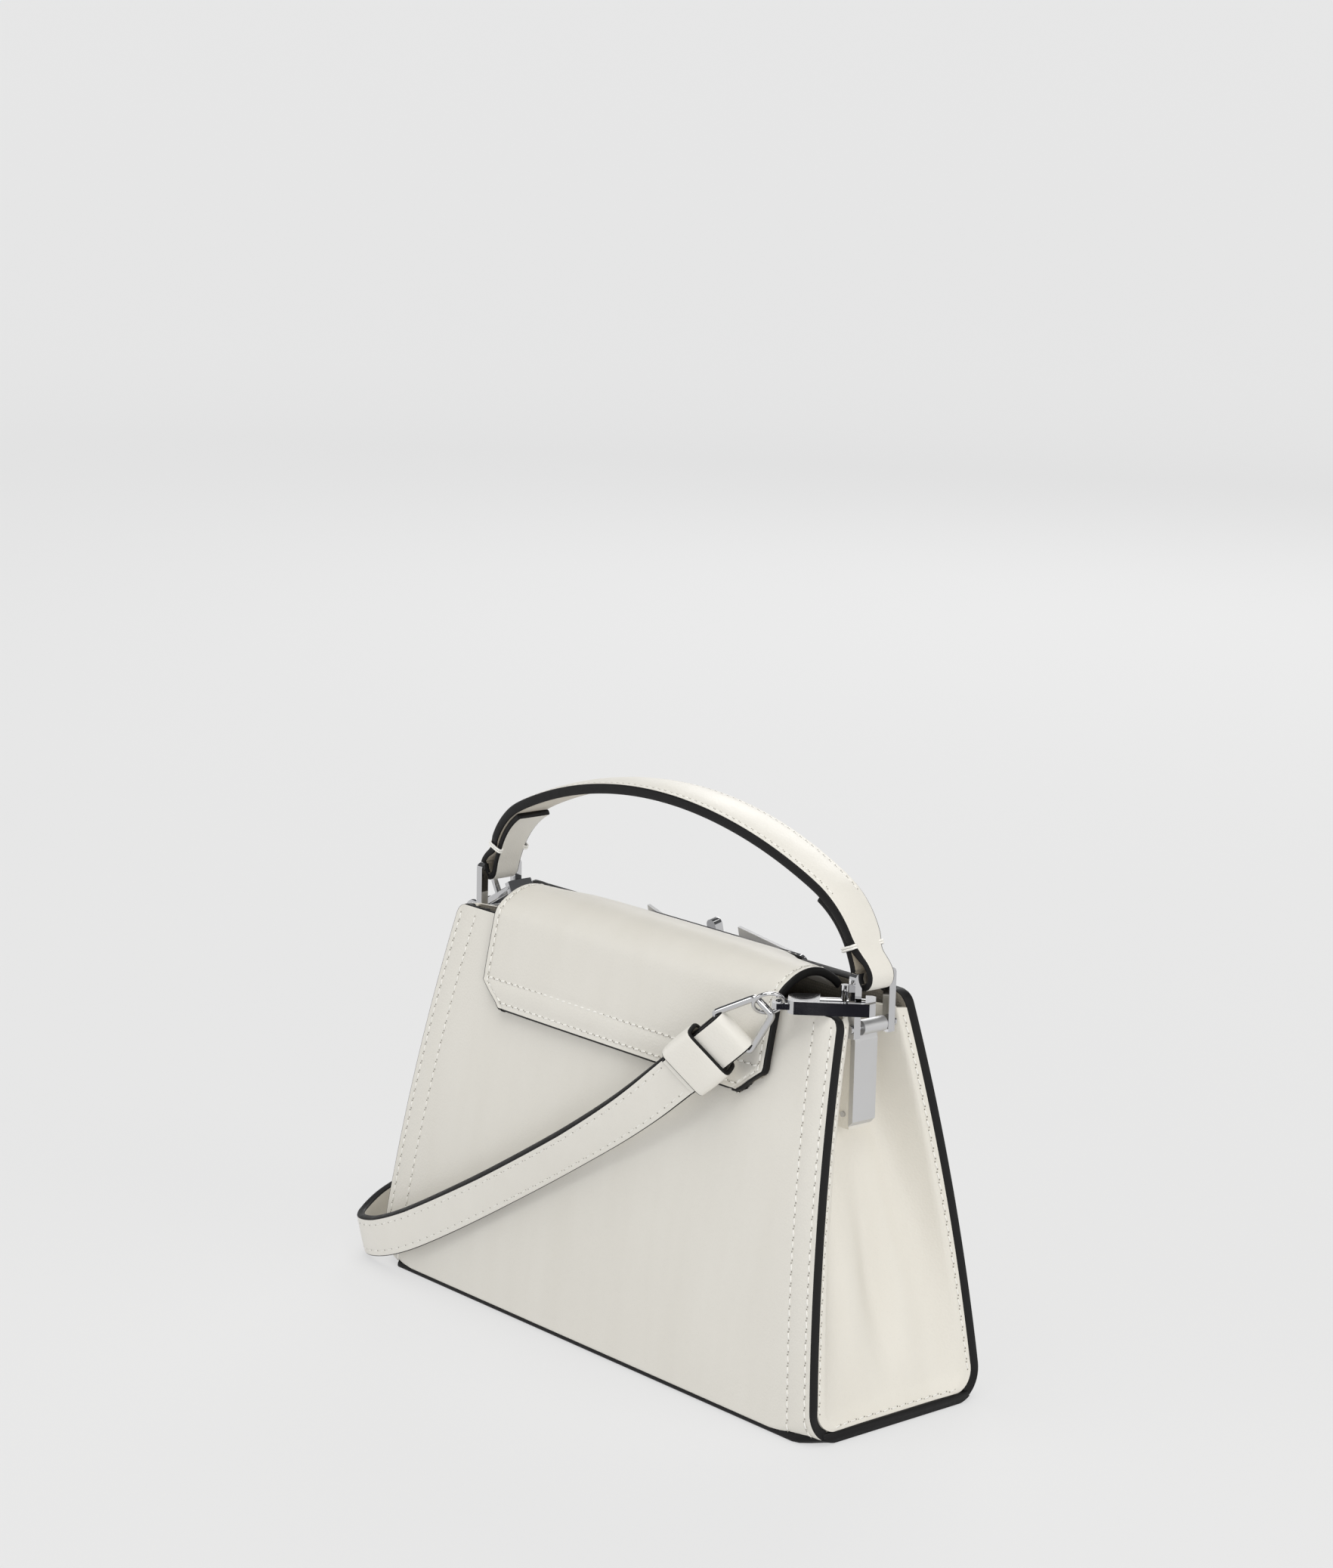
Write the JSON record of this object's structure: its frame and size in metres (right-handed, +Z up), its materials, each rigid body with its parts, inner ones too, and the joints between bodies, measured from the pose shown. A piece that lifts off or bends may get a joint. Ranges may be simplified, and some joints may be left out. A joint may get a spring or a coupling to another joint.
{
  "type": "top handle bag",
  "caption": "Structured leather bag with bowed panels, an arched flap with turn lock, a top handle on hinged rings and a clip-on shoulder strap.",
  "frame": {"origin": "on the floor under the middle of the base", "axes": "+Z up; +X along the bag's length to its left end, seen from the plain back; the lock side faces -Y and the plain back faces +Y"},
  "size_m": [0.2687, 0.1503, 0.1969],
  "materials": {
    "ivory_leather": "smooth ivory leather with black painted edges and white stitching",
    "bright_chrome": "polished nickel-chrome plate",
    "fibre_board": "covered fibre board in the base",
    "lining": "beige suede-like lining",
    "magnet_steel": "plain steel disc"
  },
  "bodies": {
    "shell": {"back_panel": "ivory_leather", "front_panel": "ivory_leather", "base_panel": "ivory_leather", "gusset_left": "ivory_leather", "gusset_right": "ivory_leather", "flap_tab": "ivory_leather", "bracket_block_left": "ivory_leather", "bracket_block_right": "ivory_leather", "strap": "ivory_leather", "strap_fold_right": "ivory_leather", "strap_fold_left": "ivory_leather", "strap_keeper_right": "ivory_leather", "strap_keeper_left": "ivory_leather", "strap_tie": "ivory_leather", "bracket_plate_left": "bright_chrome", "bracket_plate_right": "bright_chrome", "bracket_screws_left": "bright_chrome", "bracket_screws_right": "bright_chrome", "clip_frame_right": "bright_chrome", "clip_frame_left": "bright_chrome", "round_link_right": "bright_chrome", "round_link_left": "bright_chrome", "strap_ring_right": "bright_chrome", "strap_ring_left": "bright_chrome", "base_board": "fibre_board", "slip_pocket": "lining", "magnet_front": "magnet_steel"},
    "flap": {"flap": "ivory_leather", "lock_plate": "bright_chrome", "lock_wing_left": "bright_chrome", "lock_wing_right": "bright_chrome", "magnet_flap": "magnet_steel"},
    "knob": {"turn_knob": "bright_chrome"},
    "ring_left": {"handle_ring_left": "bright_chrome", "hinge_pin_left": "bright_chrome"},
    "ring_right": {"handle_ring_right": "bright_chrome", "hinge_pin_right": "bright_chrome"},
    "handle": {"handle": "ivory_leather", "handle_tab_left": "ivory_leather", "handle_tab_right": "ivory_leather"},
    "bolt_left": {"clip_bolt_left": "bright_chrome"},
    "bolt_right": {"clip_bolt_right": "bright_chrome"}
  },
  "joints": [
    {"name": "flap_fold", "type": "hinge", "parent": "shell", "child": "flap", "pos_m": [0, 0.0212, 0.1416], "axis": [-1, 0, 0], "range_deg": [0, 75]},
    {"name": "knob_turn", "type": "hinge", "parent": "flap", "child": "knob", "pos_m": [0.011, -0.02364, 0.13638], "axis": [0, -0.9779, 0.2089], "range_deg": [0, 90]},
    {"name": "ring_left_swing", "type": "hinge", "parent": "shell", "child": "ring_left", "pos_m": [0.1005, 0, 0.1338], "axis": [0, 1, 0], "range_deg": [-10, 10]},
    {"name": "ring_right_swing", "type": "hinge", "parent": "shell", "child": "ring_right", "pos_m": [-0.1005, 0, 0.1338], "axis": [0, 1, 0], "range_deg": [-10, 10]},
    {"name": "handle_pivot", "type": "hinge", "parent": "ring_left", "child": "handle", "pos_m": [0.1005, 0, 0.151], "axis": [0, 1, 0], "range_deg": [-10, 10]},
    {"name": "bolt_left_slide", "type": "slide", "parent": "shell", "child": "bolt_left", "axis": [0.866, 0, -0.5], "range_m": [0, 0.0065], "stiffness_N_per_m": 60, "springref_m": -0.004},
    {"name": "bolt_right_slide", "type": "slide", "parent": "shell", "child": "bolt_right", "axis": [0.6984, 0.7157, 0], "range_m": [0, 0.0065], "stiffness_N_per_m": 60, "springref_m": -0.004}
  ],
  "couplings": [
    {"joint": "ring_right_swing", "follows": "ring_left_swing", "ratio": 1},
    {"joint": "handle_pivot", "follows": "ring_left_swing", "ratio": -1}
  ]
}
